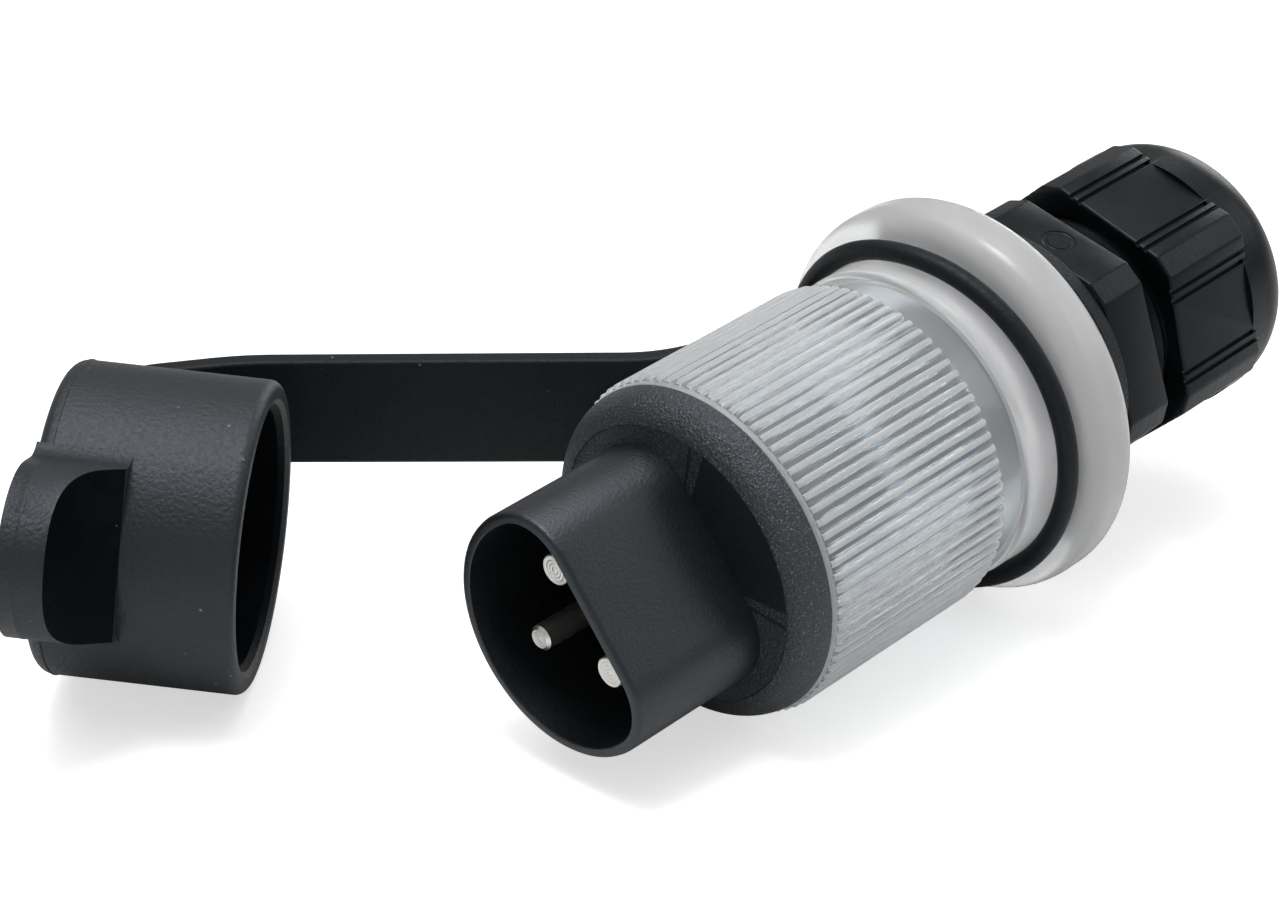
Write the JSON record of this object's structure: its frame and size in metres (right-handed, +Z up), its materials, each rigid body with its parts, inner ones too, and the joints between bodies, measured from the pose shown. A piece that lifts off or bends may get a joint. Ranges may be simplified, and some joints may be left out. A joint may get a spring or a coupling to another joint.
{
  "type": "plug with led indicator",
  "caption": "Round cable plug with a D-shaped contact nose, frosted ribbed housing that shows an indicator lamp, dome-nut cable gland and a rubber cap on a strap.",
  "frame": {"origin": "centre of the footprint's bounding rectangle, on the surface that the plug lies on", "axes": "+Z up; +X from the contact nose to the cable gland, level; +Y to the side where the cap lies"},
  "size_m": [0.1204, 0.0748, 0.0377],
  "materials": {
    "black_polyamide": "moulded satin black, fine eroded grain",
    "gland_polyamide": "moulded satin black, eroded grain on collar and corners",
    "frosted_polyamide": "milky translucent, moulded ribs",
    "epdm_rubber": "matt black seal rubber",
    "cap_rubber": "matt black moulded rubber, pebbled",
    "silvered_brass": "turned and silver-plated",
    "zinc_steel": "zinc-plated steel",
    "board_laminate": "green solder mask",
    "lamp_epoxy": "clear tinted epoxy",
    "resistor_lacquer": "beige lacquer",
    "diode_epoxy": "black moulded epoxy",
    "lead_brown_pvc": "brown insulation",
    "lead_blue_pvc": "blue insulation"
  },
  "bodies": {
    "root": {"contact_carrier": "black_polyamide", "terminal_block": "black_polyamide", "carrier_seal": "epdm_rubber", "line_pin": "silvered_brass", "neutral_pin": "silvered_brass", "earth_pin": "silvered_brass", "line_screw": "zinc_steel", "neutral_screw": "zinc_steel", "earth_screw": "zinc_steel", "housing": "frosted_polyamide", "led_board": "board_laminate", "led_lamp": "lamp_epoxy", "series_resistor": "resistor_lacquer", "led_diode": "diode_epoxy", "led_lead_line": "lead_brown_pvc", "led_lead_neutral": "lead_blue_pvc", "gland_gasket": "epdm_rubber", "gland_body": "gland_polyamide", "gland_grommet": "epdm_rubber", "gland_nut": "gland_polyamide", "protective_cap": "cap_rubber"}
  },
  "joints": []
}
